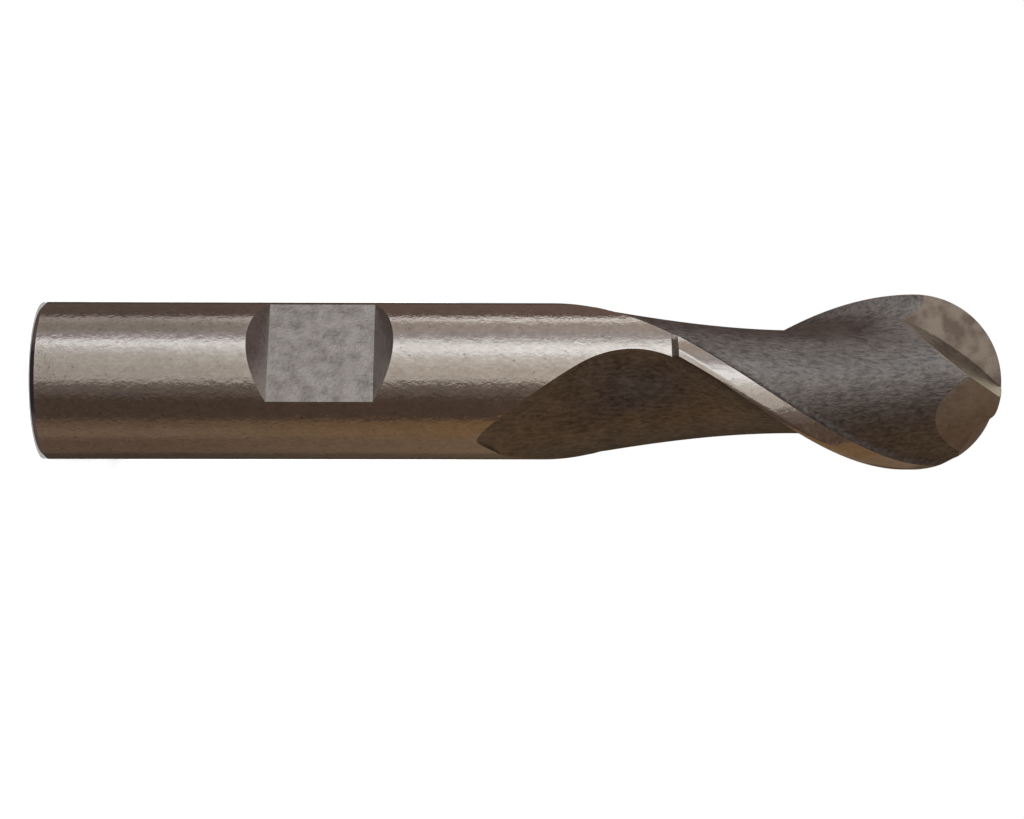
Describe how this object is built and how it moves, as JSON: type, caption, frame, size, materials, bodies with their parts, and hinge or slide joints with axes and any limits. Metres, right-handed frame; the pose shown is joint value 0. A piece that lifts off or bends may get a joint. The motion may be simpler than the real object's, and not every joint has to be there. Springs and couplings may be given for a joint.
{
  "type": "ball end mill",
  "caption": "Ball nose end mill with right-hand helical flutes on a cylindrical shank with a side flat.",
  "frame": {"origin": "centre of the flat end face of the shank, on the tool's axis", "axes": "+Z along the tool's axis from the shank to the ball nose, -Y out of the side flat of the shank, +X completes the right-handed frame"},
  "size_m": [0.0142, 0.0142, 0.0777],
  "materials": {
    "ground_steel": "ground high-speed steel, lightly blotched"
  },
  "bodies": {
    "root": {"end_mill": "ground_steel"}
  },
  "joints": []
}
